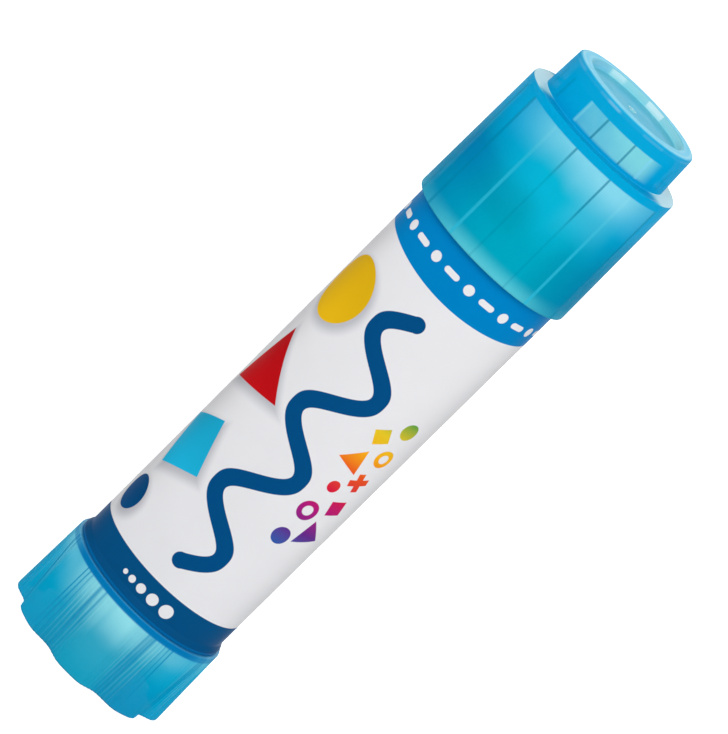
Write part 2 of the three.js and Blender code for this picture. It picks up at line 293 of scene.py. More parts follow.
class Graph:
    """The nodes of one material, with short ways to add them."""

    def __init__(self, name):
        self.material = bpy.data.materials.new(name)
        self.material.use_nodes = True
        self.tree = self.material.node_tree
        self.tree.nodes.clear()
        self.shader = self.node("ShaderNodeBsdfPrincipled")
        output = self.node("ShaderNodeOutputMaterial")
        self.tree.links.new(self.shader.outputs["BSDF"], output.inputs["Surface"])
        piece = self.node("ShaderNodeTexCoord").outputs
        to_mm = {0: piece["Object"], 1: (1 / MM,) * 3}
        self.place = self.node("ShaderNodeVectorMath", to_mm, operation="MULTIPLY").outputs[0]
        split = self.node("ShaderNodeSeparateXYZ", {0: self.place})
        self.x, self.y, self.z = (Number(self, s) for s in split.outputs)
        self.up = Number(self, self.node("ShaderNodeSeparateXYZ", {0: piece["Normal"]}).outputs[2])
        self.radius = self.hypot(self.x, self.y)
        self.angle = self.math("ARCTAN2", self.x, self.y * -1.0) * math.degrees(1.0)

    def node(self, kind, inputs=None, **settings):
        made = self.tree.nodes.new(kind)
        for key, value in settings.items():
            setattr(made, key, value)
        for key, value in (inputs or {}).items():
            self.feed(made.inputs[key], value)
        return made

    def feed(self, socket, value):
        if isinstance(value, Number):
            value = value.socket
        if isinstance(value, bpy.types.NodeSocket):
            self.tree.links.new(value, socket)
        elif socket.type == "RGBA":
            socket.default_value = (*value, 1.0)
        else:
            socket.default_value = value

    def surface(self, name, value):
        self.feed(self.shader.inputs[name], value)

    def math(self, operation, *values):
        made = self.node("ShaderNodeMath", dict(enumerate(values)), operation=operation)
        return Number(self, made.outputs[0])

    def folded(self, turn, half):
        """Degrees from a line that is turned from the front, wrapped to lie within half either way."""
        return self.math("WRAP", self.angle - turn, half, -half)

    def hypot(self, x, y):
        return self.math("SQRT", self.math("MULTIPLY_ADD", x, x, y * y))

    def rise(self, value, low, high):
        """0 below low and 1 above high, with a smooth rise between."""
        inputs = {"Value": value, "From Min": low, "From Max": high}
        made = self.node("ShaderNodeMapRange", inputs, interpolation_type="SMOOTHSTEP")
        return Number(self, made.outputs[0])

    def between(self, value, low, high, soft):
        """1 between low and high, and 0 elsewhere, with soft edges."""
        return self.rise(value, low - soft, low + soft) * self.rise(value, high + soft, high - soft)

    def mix(self, share, first, second):
        made = self.node("ShaderNodeMix", {0: share, 6: first, 7: second}, data_type="RGBA")
        return made.outputs[2]

    def ramp(self, value, stops):
        """A colour that runs through the stops, each a value and its colour."""
        low, high = stops[0][0], stops[-1][0]
        made = self.node("ShaderNodeValToRGB", {0: (value - low) / (high - low)})
        elements = made.color_ramp.elements
        for at, _ in stops[1:-1]:
            elements.new((at - low) / (high - low))
        for element, (_, paint) in zip(elements, stops):
            element.color = (*paint, 1.0)
        return made.outputs[0]

    def noise(self, size, detail=2.0, stretch=(1.0, 1.0, 1.0)):
        """Cloudy noise about 0.5, with lumps of a size in mm that stretch draws out along the axes."""
        squeeze = tuple(1 / (size * s) for s in stretch)
        place = self.node("ShaderNodeVectorMath", {0: self.place, 1: squeeze}, operation="MULTIPLY")
        inputs = {"Vector": place.outputs[0], "Scale": 1.0, "Detail": detail}
        made = self.node("ShaderNodeTexNoise", inputs)
        return Number(self, made.outputs[0])

    def bump(self, height, depth):
        """Relief from a height between 0 and 1, whose full depth is in mm."""
        made = self.node("ShaderNodeBump", {"Height": height, "Distance": depth * MM, "Strength": 1.0})
        self.surface("Normal", made.outputs[0])


def disc(graph, x, y, size):
    """Distance in mm from the edge of a disc, less than 0 inside it."""
    return graph.hypot(x, y) - size


def ring(graph, x, y, size):
    """Distance from the edge of a ring."""
    return abs(disc(graph, x, y, size * 0.75)) - size * 0.25


def square(graph, x, y, size):
    """Distance from the edge of a square."""
    return graph.math("MAXIMUM", abs(x), abs(y)) - size


def cross(graph, x, y, size):
    """Distance from the edge of a plus-shaped cross."""
    upright = graph.math("MAXIMUM", abs(x) - size * 0.33, abs(y) - size)
    level = graph.math("MAXIMUM", abs(y) - size * 0.33, abs(x) - size)
    return graph.math("MINIMUM", upright, level)


def triangle(graph, x, y, size):
    """Distance from the edge of a triangle with one side level."""
    slanted = abs(x) * math.cos(math.pi / 6) + y * 0.5
    return graph.math("MAXIMUM", slanted, y * -1.0) - size * 0.7


def turned_place(graph, x, y, centre, degrees):
    """The place on a shape's own axes, from its centre and its turn."""
    c, s = math.cos(math.radians(degrees)), math.sin(math.radians(degrees))
    across, up = x - centre[0], y - centre[1]
    return across * c + up * s, up * c - across * s


def rounded(corners, closed=False):
    """A section's outline with arcs, from corners in mm: each a radius, a height and its rounding."""
    points = []
    for index, (x, z, curve) in enumerate(corners):
        here = Vector((x, z))
        if curve == 0:
            points.append(here)
            continue
        before = Vector(corners[index - 1][:2]) - here
        after = Vector(corners[(index + 1) % len(corners)][:2]) - here
        half = before.angle(after) / 2
        before.normalize()
        after.normalize()
        reach = curve / math.tan(half)
        centre = here + (before + after).normalized() * curve / math.sin(half)
        start, end = here + before * reach, here + after * reach
        points.append(start + before * min(SUPPORT, curve / 2))
        for k in range(ARC_STEPS + 1):
            point = start.lerp(end, k / ARC_STEPS) - centre
            points.append(centre + point.normalized() * curve)
        points.append(end + after * min(SUPPORT, curve / 2))
    return points + points[:1] if closed else points


def around(degrees, radius, height):
    """A point in metres at an angle from the front, a radius and a height in mm."""
    a = math.radians(degrees)
    return radius * MM * math.sin(a), -radius * MM * math.cos(a), height * MM


def turned_mesh(name, section, steps, radius_at=None):
    """A smooth mesh turned round the axis from a section, whose radius may vary with the angle."""
    points, rows, faces = [], [], []
    for radius, height in section:
        if radius < 1e-6:
            rows.append([len(points)] * steps)
            points.append((0.0, 0.0, height * MM))
            continue
        rows.append(list(range(len(points), len(points) + steps)))
        for i in range(steps):
            angle = 360 * i / steps
            there = radius_at(angle, radius, height) if radius_at else radius
            points.append(around(angle, there, height))
    if (Vector(section[0]) - Vector(section[-1])).length < 1e-6:
        del points[rows[-1][0]:]
        rows[-1] = rows[0]
    for low, high in zip(rows, rows[1:]):
        for i in range(steps):
            j = (i + 1) % steps
            corners = list(dict.fromkeys((low[i], low[j], high[j], high[i])))
            if len(corners) > 2:
                faces.append(corners)
    mesh = bpy.data.meshes.new(name)
    mesh.from_pydata(points, [], faces)
    mesh.validate()
    mesh.shade_smooth()
    return mesh


def smooth_rise(share):
    """A smooth step from 0 to 1 as share goes from 0 to 1."""
    share = min(1.0, max(0.0, share))
    return share * share * (3 - 2 * share)


def place_piece(name, mesh, material, body, node):
    """Puts a piece into the scene, on its body and in the place of its CAD node."""
    piece = bpy.data.objects.new(name, mesh)
    bpy.context.scene.collection.objects.link(piece)
    mesh.materials.append(material)
    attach(piece, body)
    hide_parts(node)


def satin(graph, low, high):
    """Satin roughness between two values, cloudy, with fine upright rub marks."""
    clouds = graph.noise(3.0, 3.0)
    marks = graph.noise(0.25, 2.0, (1.0, 1.0, 14.0))
    share = graph.rise(clouds * 0.5 + marks * 0.5, 0.35, 0.65)
    graph.surface("Roughness", share * (high - low) + low)


def blue_finish(graph, base, opacity, gloss):
    """Gives the see-through plastic its colour, opacity and satin, with almost no gloss where gloss is 0."""
    graph.surface("Base Color", base)
    graph.surface("Alpha", opacity)
    graph.surface("Specular IOR Level", gloss + 0.002)
    satin(graph, 0.3, 0.42)


def rib_lines(graph, from_front, half_width):
    """Where the upright ribs inside the cap show through, as painted shade and painted highlights: masks of
    the dark ones and the light ones.

    Four pairs make a pattern that runs twice round: both dark in front, light and dark, both dark,
    dark and light.
    """
    near = graph.radius * math.radians(1.0)
    place = abs(abs(graph.folded(CAP_TURN, PAIR_SPACING / 2)) - RIB_FROM_PAIR) * near
    is_light = graph.rise(abs(abs(from_front) - (PAIR_SPACING - RIB_FROM_PAIR)), 4.0, 3.0)
    dark = graph.rise(place, half_width * 1.5, half_width * 0.5) * (1.0 - is_light)
    light = graph.rise(place, half_width * 1.8, half_width * 0.5) * is_light
    return dark, light


def skirt_paint(graph, look, from_front, sideways, z):
    """Paint of the skirt, deep low down, with painted shade at the sides and over the neck, painted light
    under the shoulder and at the rim, and a mask of the painted light under the shoulder.
    """
    # Painted shade: towards the two sides the skirt turns to the darker side blues.
    side = graph.mix(graph.rise(z, 84.0, 91.0), look.side, look.high_side)
    paint = graph.mix(graph.rise(z, 79.5, 86.0), look.deep, look.middle)
    paint = graph.mix(sideways * 0.85, paint, side)
    # Painted shade over the neck inside: darker in a belt left of the front, and all the way down right of
    # it.
    left_of_front = graph.rise(from_front, 4.0, -12.0) * graph.rise(from_front, -88.0, -72.0)
    right_of_front = graph.rise(from_front, 12.0, 30.0) * graph.rise(from_front, 88.0, 66.0)
    neck_shade = graph.rise(z, 86.5, 83.5) * graph.rise(z, 78.0, 82.5) * left_of_front * 0.15
    neck_shade = neck_shade + graph.rise(z, 85.0, 81.0) * right_of_front * 0.1
    belt = graph.mix(graph.rise(from_front, -30.0, -62.0), BLACK, LEFT_SHADE)
    paint = graph.mix(neck_shade, paint, belt)
    # Painted light: the pale part starts lower on the right, and higher just left of the front.
    facing = graph.rise(from_front, -62.0, -12.0) * 0.45 + 0.52
    facing = graph.rise(abs(from_front), 60.0, 58.0) * facing + 0.03
    late = graph.rise(from_front, -31.0, -20.0) * graph.rise(from_front, 2.0, -10.0)
    pale = graph.rise(z, late + 87.2, 93.2) * facing * (1.0 - sideways * 0.75)
    lower = graph.rise(z, 82.5, 88.5) * graph.rise(from_front, 0.0, 16.0) * graph.rise(from_front, 48.0, 28.0)
    pale = pale + lower * 0.18
    paint = graph.mix(pale, paint, look.pale)
    # Painted light: the rim glows paler, less so at the sides and right of the front.
    at_rim = graph.rise(graph.z, 76.7, 74.3) * (1.0 - sideways * 0.7)
    at_rim = at_rim * (1.0 - graph.rise(from_front, 24.0, 50.0) * 0.25)
    return graph.mix(at_rim, paint, look.rim), pale


def button_paint(graph, look, from_front, solid):
    """Paint of the button's side, with a pane of painted light in its front, brighter towards the right, and
    a mask of that pane.
    """
    lit_pane = graph.rise(from_front, -32.6, -31.8) * graph.rise(from_front, 46.0, 30.0)
    lit_pane = lit_pane * graph.rise(graph.z, 94.4, 95.0)
    lit = graph.rise(from_front, -40.0, 24.0) * 0.5 + graph.rise(graph.noise(2.5), 0.3, 0.7) * 0.12 + 0.36
    return graph.mix(lit_pane * lit, solid, look.window), lit_pane


def dish_wall_paint(graph, look, base, from_front, in_dish):
    """The wall of the crown's dish over the paint below it, with painted light: paler all over, with brighter
    patches where light falls on it.
    """
    wall = in_dish * graph.rise(graph.z, 98.7, 98.9)
    behind = graph.rise(from_front, 42.0, 34.0) * 0.4 + graph.rise(from_front, 66.0, 90.0) * 0.4 + 0.5
    base = graph.mix(wall * behind, base, look.window)
    bright = graph.between(from_front, -33.0, -12.5, 1.0)
    bright = bright + graph.between(from_front, 17.0, 36.0, 2.5) * 0.6 + 0.26
    return graph.mix(wall * bright * (graph.rise(graph.z, 98.95, 99.6) * 0.6 + 0.3), base, look.glow)


def upward_paint(graph, look, from_front, solid, in_dish):
    """Painted light on the faces that look up: the shoulder's step, pale towards the sides, the crown's ring
    with painted highlight lines, and the dish, paler at its edge, with its mark painted pale.
    """
    to_side = abs(from_front + 3.0)
    step = graph.mix(graph.rise(to_side, 52.0, 62.0) * 0.8, solid, look.window)
    step = graph.mix(graph.rise(to_side, 57.0, 66.0) * 0.7, step, look.glow)
    lip = graph.between(graph.radius, 7.95, 8.35, 0.15) * 0.12
    lip = lip + graph.between(graph.radius, 8.95, 9.3, 0.15) * 0.25
    upper = graph.mix(graph.rise(graph.radius, 9.8, 9.9), graph.mix(lip, look.face, look.glow), step)
    floor = graph.mix(graph.rise(graph.radius, 4.5, 7.5) * 0.4, look.dish, look.window)
    upper = graph.mix(in_dish, upper, floor)
    mark = graph.between(graph.radius, 0.42, 0.7, 0.06)
    mark = graph.math("MAXIMUM", mark, graph.rise(graph.radius, 0.24, 0.16))
    return graph.mix(mark * in_dish * 0.6, upper, look.glow)


def cap_plastic(look):
    """See-through blue plastic of the cap, with painted light and shade: pale where light gathers, darker
    over the neck and towards the sides, solid if thick.
    """
    graph = Graph("cap_plastic")
    from_front = graph.folded(CAP_TURN, QUARTER_TURN)
    drift = (graph.noise(8.0, 1.0) - 0.5) * 3.0
    z = graph.z + drift
    sideways = graph.rise(abs(from_front), 8.0, 64.0)
    solid = graph.mix(sideways * 0.75, look.solid, look.high_side)
    on_button = graph.rise(graph.z, 94.1, 94.2)
    skirt, pale = skirt_paint(graph, look, from_front, sideways, z)
    button, lit_pane = button_paint(graph, look, from_front, solid)
    base = graph.mix(on_button, skirt, button)

    lines = graph.math("SINE", graph.angle * math.radians(240.0)) * 0.5 + 0.5
    rings = graph.math("SINE", graph.z * (math.tau / 0.3)) * 0.5 + 0.5
    on_side = graph.rise(abs(graph.up), 0.3, 0.1) * graph.rise(graph.radius, 9.0, 9.3)
    hatch = lines * rings * graph.math("MAXIMUM", pale * graph.rise(graph.z, 94.2, 94.1), lit_pane)
    base = graph.mix(hatch * on_side * 0.16, base, look.middle)

    # Where the ribs inside show through, the dark lines are painted shade and the light lines painted
    # highlights.
    dark, light = rib_lines(graph, from_front, sideways * 0.12 + 0.15)
    faint = sideways * (on_button * 0.4 + 0.2)
    lift = z + graph.rise(from_front, -15.0, 25.0) * 5.0
    below = graph.rise(lift, 92.5, 87.0) * (1.0 - sideways) * 0.72
    rib = graph.mix(sideways * 0.5, look.line, look.side)
    base = graph.mix(dark * (1.0 - faint) * (1.0 - below) * 0.7, base, rib)
    base = graph.mix(light * 0.75, base, graph.mix(pale + 0.1, look.middle, look.pale))

    shoulder = graph.between(graph.z, 93.0, 94.6, 0.12)
    crown = graph.rise(graph.z, 97.75, 97.95)
    base = graph.mix(graph.math("MAXIMUM", shoulder, crown), base, solid)
    # Painted highlight: a pale band along the crown's rounded edge, brighter in patches.
    block = graph.rise(abs(graph.folded(CAP_TURN, PAIR_SPACING / 2)), 11.5, 12.5)
    patch = block * 0.05 + graph.between(from_front, -24.0, -11.5, 2.0) * 0.14 + 0.015
    base = graph.mix(graph.between(graph.z, 99.3, 99.65, 0.1) * patch, base, look.glow)

    in_dish = graph.rise(graph.radius, 7.95, 7.8)
    base = dish_wall_paint(graph, look, base, from_front, in_dish)
    upper = upward_paint(graph, look, from_front, solid, in_dish)
    # Painted light: faces that look up take the paler upward paint, more sharply on the crown.
    top_face = graph.rise(graph.up, 0.25, 0.75)
    flat_face = graph.rise(graph.up, 0.55, 0.92)
    base = graph.mix(top_face * (1.0 - crown) + flat_face * crown, base, upper)
    blue_finish(graph, base, look.opacity, top_face * 0.03)
    graph.bump(lines * on_side * 0.7 + graph.noise(0.6) * 0.3, 0.012)
    return graph.material


def knob_plastic(look):
    """See-through blue plastic of the knob, with painted light and shade: paler towards the top, darker low
    down, and bands and lines of painted shade and highlight in each flute.
    """
    graph = Graph("knob_plastic")
    drift = (graph.noise(5.0, 1.0) - 0.5) * 2.0
    z = graph.z + drift
    from_front = graph.folded(KNOB_TURN, QUARTER_TURN)
    turn = abs(from_front)
    across = graph.math("WRAP", turn, FLUTE_SPACING, 0.0) - FLUTE_SPACING / 2
    on_lobe = graph.rise(abs(across), 12.0, 18.0)

    base = graph.mix(graph.rise(turn, 18.0, 60.0) * 0.85, look.deep, look.side)
    # Painted light and shade: paler under the top plate towards the front, less so on the right, with pale
    # patches high at the sides; darker low down away from the front.
    right = graph.math("MAXIMUM", graph.rise(from_front, 2.0, 42.0), graph.rise(from_front, -62.0, -90.0))
    towards = (graph.rise(turn, 54.0, 24.0) * 0.78 + 0.22) * (1.0 - right * 0.75)
    dim = graph.rise(z, 9.5, 2.0) * graph.rise(turn, 8.0, 38.0) * (0.7 - graph.rise(turn, 46.0, 66.0) * 0.45)
    dim = dim * (1.0 - graph.rise(from_front, -14.0, -36.0) * graph.rise(from_front, -90.0, -64.0) * 0.5)
    base = graph.mix(dim, base, look.stripe)
    low = graph.rise(z, 0.0, 7.0) * graph.rise(turn, 42.0, 8.0) * 0.08
    glow = graph.rise(from_front, -44.0, -62.0) * (graph.rise(from_front, -90.0, -74.0) * 0.12 + 0.2)
    glow = (glow + graph.rise(from_front, 20.0, 34.0) * 0.2) * graph.rise(z, 8.0, 10.5)
    pale = (graph.rise(z, 5.4, 10.8) * towards * 0.88 + low + glow) * (on_lobe * 0.2 + 0.8)
    base = graph.mix(pale, base, look.pale)

    # Two bands of painted shade run up each flute, and right of the front the place between them is filled.
    inner = graph.between(across, -5.3, -3.7, 0.9) * 0.6
    filled = graph.between(across, -4.0, 0.0, 1.0) * graph.rise(from_front, -6.0, 6.0) * 0.45
    outer = graph.between(across, -0.9, 1.1, 1.1) * 0.8
    band = graph.math("MAXIMUM", outer, graph.math("MAXIMUM", inner, filled))
    # Fine lines of painted shade stand on the outer side of a flute, and fainter painted highlights in its
    # middle, off the bands; the grip ribs beneath are real.
    shifted = across + graph.rise(from_front, -6.0, 6.0) * 1.2 - 0.6
    wave = graph.math("COSINE", (shifted - 9.2) * math.radians(360.0 / DARK_PITCH))
    fine = graph.rise(wave, 0.0, 0.9) * graph.between(across, 7.9, 16.6, 0.3)
    fine = fine * (graph.rise(across, 9.0, 15.0) * 0.35 + 0.45)
    hair = graph.math("COSINE", (across - 2.4) * math.radians(360.0 / PALE_PITCH))
    hair = hair * graph.between(across, -8.0, 8.0, 1.0)
    # The front lobe has a painted highlight along its left edge.
    edge = graph.between(from_front, -16.0, -9.5, 1.5) * graph.rise(z, 4.0, 10.0) * 0.35
    base = graph.mix(edge, base, look.pale)
    high = graph.rise(z, 0.0, 7.0) * 0.6 + 0.4
    base = graph.mix((band + fine) * high, base, look.stripe)
    share = graph.rise(hair, 0.0, 0.9) * high * (1.0 - right * 0.3) * (1.0 - band)
    base = graph.mix(share * (graph.rise(z, 2.0, 10.0) * 0.22 + 0.1), base, look.pale)

    plate = graph.rise(graph.z, 10.75, 11.05) * (1.0 - graph.rise(turn, 46.0, 72.0) * 0.4)
    base = graph.mix(plate, base, look.plate)
    # Painted light: faces that look up are painted a little paler.
    top_face = graph.rise(graph.up, 0.25, 0.75)
    base = graph.mix(top_face * 0.08, base, look.pale)
    blue_finish(graph, base, look.opacity, top_face * 0.05)
    graph.bump(graph.noise(0.35, 2.0, (1.0, 1.0, 6.0)), 0.01)
    return graph.material


def white_plastic(white, name):
    """White moulded plastic, a little uneven in tone and gloss."""
    graph = Graph(name)
    tone = graph.rise(graph.noise(5.0, 3.0), 0.3, 0.7)
    base = graph.mix(tone, tuple(c * 0.95 for c in white), white)
    scuffs = graph.rise(graph.noise(0.3, 3.0, (1.0, 1.0, 10.0)), 0.62, 0.75)
    base = graph.mix(scuffs * 0.12, base, tuple(c * 0.7 for c in white))
    graph.surface("Base Color", base)
    satin(graph, 0.38, 0.52)
    graph.bump(graph.noise(0.4, 3.0), 0.008)
    return graph.material


def glue_paste(look):
    """Waxy off-white glue with fine drag marks and pits."""
    graph = Graph("glue_paste")
    tone = graph.rise(graph.noise(2.5, 3.0), 0.3, 0.7)
    base = graph.mix(tone, tuple(c * 0.93 for c in look.tint), look.tint)
    graph.surface("Base Color", base)
    graph.surface("Subsurface Weight", 0.25)
    graph.surface("Subsurface Radius", (1.0, 0.9, 0.7))
    graph.surface("Subsurface Scale", 0.001)
    satin(graph, 0.42, 0.62)
    drag = graph.noise(0.5, 3.0, (5.0, 1.0, 3.0))
    pits = graph.rise(graph.noise(0.8, 2.0), 0.7, 0.6)
    graph.bump(drag * 0.6 + pits * 0.4, 0.03)
    return graph.material


def wavy_ribbon(graph, s, z):
    """Distance from the edge of a wavy ribbon with round ends that runs up a face of the sleeve."""
    low, waves, period, swing, half = 20.6, 3, 14.2, 3.5, 1.1
    high = low + waves * period
    pace = 2 * math.pi / period
    phase = (z - low) * pace
    lean = graph.math("COSINE", phase) * (swing * pace)
    off = abs(s - graph.math("SINE", phase) * swing)
    stroke = off / graph.math("SQRT", lean * lean + 1.0) - half
    tilt = math.atan(swing * pace)
    for end, way in ((low, 1.0), (high, -1.0)):
        beyond = s * (-math.sin(tilt) * way) - (z - end) * (math.cos(tilt) * way)
        stroke = graph.math("MAXIMUM", stroke, beyond)
    for end in (low, high):
        stroke = graph.math("MINIMUM", stroke, disc(graph, s, z - end, half))
    return stroke


def printed_film(look):
    """Printed film, the same on front and back: white ground, two bands, a ribbon, paper shapes and confetti.

    A painted shade towards the two sides, where light falls off, darkens it all a little.
    """
    top_edge, foot_edge, border_height, dots_height = 68.6, 16.6, 70.9, 14.35
    graph = Graph("printed_film")
    z = graph.z
    around_sleeve = graph.angle * (math.radians(1.0) * look.radius / MM)
    half_turn = math.pi * look.radius / MM
    s = graph.math("WRAP", around_sleeve, half_turn / 2, -half_turn / 2)
    tone = graph.rise(graph.noise(9.0, 3.0), 0.3, 0.7)
    base = graph.mix(tone * 0.5, look.paper, tuple(c * 0.96 for c in look.paper))

    papers = [
        (disc, -11.2, 59.0, 4.9, 0.0, look.yellow),
        (triangle, -11.4, 44.6, 4.4, 14.0, look.red),
        (square, -11.3, 31.2, 3.9, 24.0, look.cyan),
        (disc, -12.6, 20.9, 2.6, 0.0, look.ribbon),
    ]
    for shape, across, up, size, turn, paint in papers:
        u, v = turned_place(graph, s, z, (across + 0.55, up - 0.45), turn)
        shadow = graph.rise(shape(graph, u, v, size), 1.3, -0.6)
        base = graph.mix(shadow * 0.42, base, colour(92, 96, 118))
        u, v = turned_place(graph, s, z, (across, up), turn)
        sheen = graph.rise(u + v, -size * 1.6, size * 1.6)
        sheet = graph.mix(sheen * 0.45, paint, tuple(c * 0.6 for c in paint))
        inked = graph.rise(shape(graph, u, v, size), INK_EDGE, -INK_EDGE)
        base = graph.mix(inked, base, sheet)

    confetti = [
        (disc, 7.1, 31.4, 1.3, 0.0),
        (triangle, 10.5, 33.2, 1.7, 20.0),
        (ring, 7.3, 36.1, 1.5, 0.0),
        (square, 10.7, 38.1, 1.15, 18.0),
        (disc, 7.5, 40.6, 0.9, 0.0),
        (cross, 10.2, 42.6, 1.5, 22.0),
        (triangle, 6.9, 44.9, 1.6, -16.0),
        (ring, 10.4, 47.0, 1.4, 0.0),
        (square, 7.3, 49.5, 1.1, 32.0),
        (disc, 10.2, 51.8, 1.3, 0.0),
    ]
    bits = None
    for shape, across, up, size, turn in confetti:
        u, v = turned_place(graph, s, z, (across, up), turn)
        distance = shape(graph, u, v, size)
        bits = distance if bits is None else graph.math("MINIMUM", bits, distance)
    rainbow = graph.ramp(z, [
        (30.0, colour(46, 92, 168)), (33.0, colour(98, 44, 138)), (36.5, colour(172, 28, 122)),
        (40.0, colour(214, 30, 62)), (43.5, colour(232, 84, 34)), (47.0, colour(246, 176, 26)),
        (50.0, colour(226, 196, 40)), (53.0, colour(98, 160, 66)),
    ])
    base = graph.mix(graph.rise(bits, INK_EDGE, -INK_EDGE), base, rainbow)
    ribbon = graph.rise(wavy_ribbon(graph, s, z), INK_EDGE, -INK_EDGE)
    base = graph.mix(ribbon, base, look.ribbon)

    bow = graph.math("COSINE", graph.angle * math.radians(1.0))
    bow = bow * bow
    top = graph.rise(z + bow * 1.2, top_edge - INK_EDGE, top_edge + INK_EDGE)
    base = graph.mix(top, base, look.top_band)
    foot = graph.rise(z, foot_edge + INK_EDGE, foot_edge - INK_EDGE)
    foot_paint = graph.mix(graph.rise(z, 12.35, 12.2), look.foot_band, look.foot_edge)
    base = graph.mix(foot, base, foot_paint)
    step = half_turn / 12
    t = graph.math("WRAP", around_sleeve, step, -step)
    dot = disc(graph, t - step / 2, z - border_height, 0.72)
    along = graph.math("MAXIMUM", abs(t + step / 2) - 0.75, 0.0)
    dash = graph.hypot(along, z - border_height) - 0.42
    white_marks = graph.math("MINIMUM", dot, dash)
    for across, size in ((-3.9, 0.35), (-2.6, 0.5), (-0.95, 0.65), (1.05, 0.8), (3.4, 0.95)):
        growing = disc(graph, s - across, z - dots_height, size)
        white_marks = graph.math("MINIMUM", white_marks, growing)
    base = graph.mix(graph.rise(white_marks, INK_EDGE, -INK_EDGE), base, look.paper)

    # Painted shade: the whole print darkens towards the two sides.
    shade = graph.rise(abs(graph.folded(3.0, QUARTER_TURN)), 50.0, 84.0)
    base = graph.mix(shade * 0.16, base, BLACK)
    graph.surface("Base Color", base)
    graph.surface("Specular IOR Level", 0.006)
    satin(graph, 0.3, 0.42)
    graph.bump(graph.noise(1.2, 3.0), 0.01)
    return graph.material


class GLUESTICK_OT_cap(Operator):
    """Builds the stepped cap with its dished crown, gate mark, sealing ring and inner ribs"""

    bl_idname = "glue_stick.cap"
    bl_label = "Cap"

    def execute(self, context):
        look = context.scene.glue_stick_cap
        rim, low, crown = look.rim_radius / MM, look.rim_height / MM, look.crown_height / MM
        shoulder = low + look.skirt_height / MM
        top = rim - look.draft / MM
        button = top - look.shoulder / MM
        button_top = button - look.draft / MM
        dish, dish_floor = look.recess_radius / MM, crown - look.recess_depth / MM
        wall, dish_wall = 1.15, 1.05
        under, ceiling = dish_floor - dish_wall, shoulder - wall
        inner, button_inner = rim - wall, button_top - wall
        seal_inside, seal_outside, seal_foot = 9.15, 9.8, 90.4
        gate_mark = ((0.74, 0.0), (0.67, 0.1), (0.5, 0.1), (0.43, 0.02), (0.28, 0.02), (0.2, 0.12))
        section = rounded([
            (0, under, 0), (button_inner, under, 0.3), (button_inner, ceiling, 0.15),
            (seal_inside, ceiling, 0.1), (seal_inside, seal_foot, 0.2),
            (seal_outside, seal_foot, 0.25), (seal_outside, ceiling, 0.15),
            (inner, ceiling, 0.3), (inner, low + 1.9, 0), (inner, low + 1.5, 0), (inner, low + 0.8, 0.2),
            (inner + 0.25, low, 0.1), (rim, low, 0.18), (top, shoulder, 0.22), (button, shoulder, 0.12),
            (button_top, crown, 0.45), (dish, crown, 0.25), (dish - 0.15, dish_floor, 0.3),
            *((radius, dish_floor + rise, 0.03) for radius, rise in gate_mark), (0, dish_floor + 0.12, 0),
        ])
        rib, half_spacing, rib_foot = look.rib_height / MM, PAIR_SPACING / 2, 1.7

        def radius_at(angle, radius, height):
            from_pair = abs((angle - CAP_TURN + half_spacing) % PAIR_SPACING - half_spacing)
            crest = smooth_rise(rib_foot - abs(from_pair - RIB_FROM_PAIR))
            on_skirt = abs(radius - inner) < 0.02 and height < ceiling - 0.3
            on_button = abs(radius - button_inner) < 0.02 and ceiling < height < under
            start = smooth_rise((height - low - 1.5) / 0.4) if on_skirt else float(on_button)
            return radius - rib * crest * start

        mesh = turned_mesh("cap_shell", section, CAP_STEPS, radius_at)
        place_piece("cap_shell", mesh, cap_plastic(look), "cap", "cap")
        return {"FINISHED"}


class GLUESTICK_OT_knob(Operator):
    """Builds the lobed foot knob with its ribbed flutes, top plate, hub and round socket"""

    bl_idname = "glue_stick.knob"
    bl_label = "Knob"

    def execute(self, context):
        look = context.scene.glue_stick_knob
        height = look.height / MM
        foot, top = look.foot_radius / MM, look.top_radius / MM
        depth, rib = look.flute_depth / MM, look.rib_height / MM
        spacing = 360 / look.lobes
        half_flute, half_grip, rib_pitch = 17, 13.5, 3
        grip_top, wall = height - 1.0, 1.0
        hub, socket, socket_low, socket_high = 4.6, 3.0, 5.0, 11.6
        inner_top, inner_foot = top + (foot - top) / height - wall, foot - wall
        levels = [0.3 + (grip_top - 0.5) * k / 12 for k in range(1, 12)]
        levels += [grip_top - 0.35, grip_top]
        outside = [(foot - (foot - top) * z / height, z, 0) for z in levels]
        section = rounded([
            (foot, 0, 0.3), *outside, (top + 0.01, grip_top + 0.15, 0), (top, height, 0.2), (hub, height, 0),
            (4.4, socket_high, 0), (socket, socket_high, 0), (socket, socket_low, 0), (hub, socket_low, 0.2),
            (hub, grip_top, 0.25), (inner_top, grip_top, 0.3), (inner_top - 0.02, 6.0, 0),
            (inner_foot, 0, 0.12),
        ], closed=True)

        def radius_at(angle, radius, z):
            if radius < inner_top - 0.5 or z > grip_top + 0.01:
                return radius
            from_flute = angle % spacing - spacing / 2
            below = max(0.0, grip_top - z) / grip_top
            in_flute = abs(from_flute) < half_flute
            dip = 0.5 + 0.5 * math.cos(math.pi * from_flute / half_flute) if in_flute else 0.0
            outward = radius > inner_foot + 0.4
            ribs = 0.5 + 0.5 * math.cos(2 * math.pi * from_flute / rib_pitch)
            fade = smooth_rise((half_grip - abs(from_flute)) / 1.5) * smooth_rise((grip_top - z) / 0.9)
            return radius - (depth + rib) * below * dip + (rib * ribs * fade if outward else 0.0)

        mesh = turned_mesh("knob_shell", section, KNOB_STEPS, radius_at)
        place_piece("knob_shell", mesh, knob_plastic(look), "knob", "knob")
        return {"FINISHED"}


